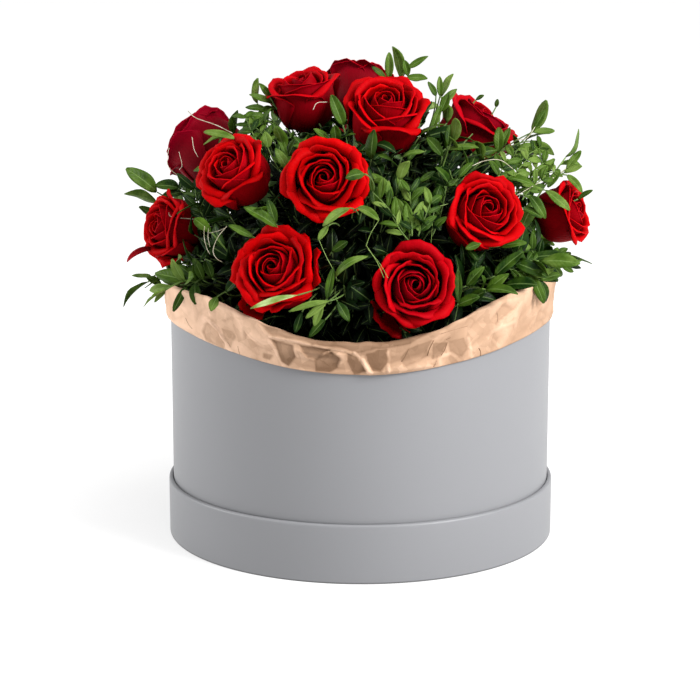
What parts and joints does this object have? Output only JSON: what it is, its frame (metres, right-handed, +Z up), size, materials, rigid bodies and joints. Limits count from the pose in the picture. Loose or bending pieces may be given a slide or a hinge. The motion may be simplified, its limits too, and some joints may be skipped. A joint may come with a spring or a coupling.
{
  "type": "box of roses",
  "caption": "Round grey hat box standing in its own lid, with a folded kraft paper collar, filled with red roses and green foliage in foam.",
  "frame": {"origin": "middle of the underside of the lid that the box stands in", "axes": "+Z up, the front of the box faces -Y, +X to the right of someone looking at the front"},
  "size_m": [0.2954, 0.2789, 0.3073],
  "materials": {
    "box_grey": "smooth matte grey covering paper on rigid board",
    "kraft_paper": "crumpled natural kraft paper",
    "rose_red": "velvety fresh rose petals, bright red to dark crimson",
    "stem_green": "fresh green rose stem and sepals",
    "leaf_green": "fresh green leaves, slightly waxy",
    "foam_green": "wet dark green floral foam",
    "liner_clear": "thin clear plastic liner"
  },
  "bodies": {
    "root": {"box_lid_base": "box_grey", "box_body": "box_grey", "waterproof_liner": "liner_clear", "foam": "foam_green", "paper_collar": "kraft_paper", "rose_01_bloom": "rose_red", "rose_01_stem": "stem_green", "rose_02_bloom": "rose_red", "rose_02_stem": "stem_green", "rose_03_bloom": "rose_red", "rose_03_stem": "stem_green", "rose_04_bloom": "rose_red", "rose_04_stem": "stem_green", "rose_05_bloom": "rose_red", "rose_05_stem": "stem_green", "rose_06_bloom": "rose_red", "rose_06_stem": "stem_green", "rose_07_bloom": "rose_red", "rose_07_stem": "stem_green", "rose_08_bloom": "rose_red", "rose_08_stem": "stem_green", "rose_09_bloom": "rose_red", "rose_09_stem": "stem_green", "rose_10_bloom": "rose_red", "rose_10_stem": "stem_green", "rose_11_bloom": "rose_red", "rose_11_stem": "stem_green", "rose_12_bloom": "rose_red", "rose_12_stem": "stem_green", "rose_13_bloom": "rose_red", "rose_13_stem": "stem_green", "rose_14_bloom": "rose_red", "rose_14_stem": "stem_green", "rose_15_bloom": "rose_red", "rose_15_stem": "stem_green", "spray_01": "leaf_green", "spray_02": "leaf_green", "spray_03": "leaf_green", "spray_04": "leaf_green", "spray_05": "leaf_green", "spray_06": "leaf_green", "spray_07": "leaf_green", "spray_08": "leaf_green", "spray_09": "leaf_green", "spray_10": "leaf_green", "spray_11": "leaf_green", "spray_12": "leaf_green", "spray_13": "leaf_green", "spray_14": "leaf_green", "spray_15": "leaf_green", "spray_16": "leaf_green", "spray_17": "leaf_green", "spray_18": "leaf_green", "spray_19": "leaf_green", "spray_20": "leaf_green", "spray_21": "leaf_green", "spray_22": "leaf_green", "spray_23": "leaf_green", "spray_24": "leaf_green"}
  },
  "joints": []
}
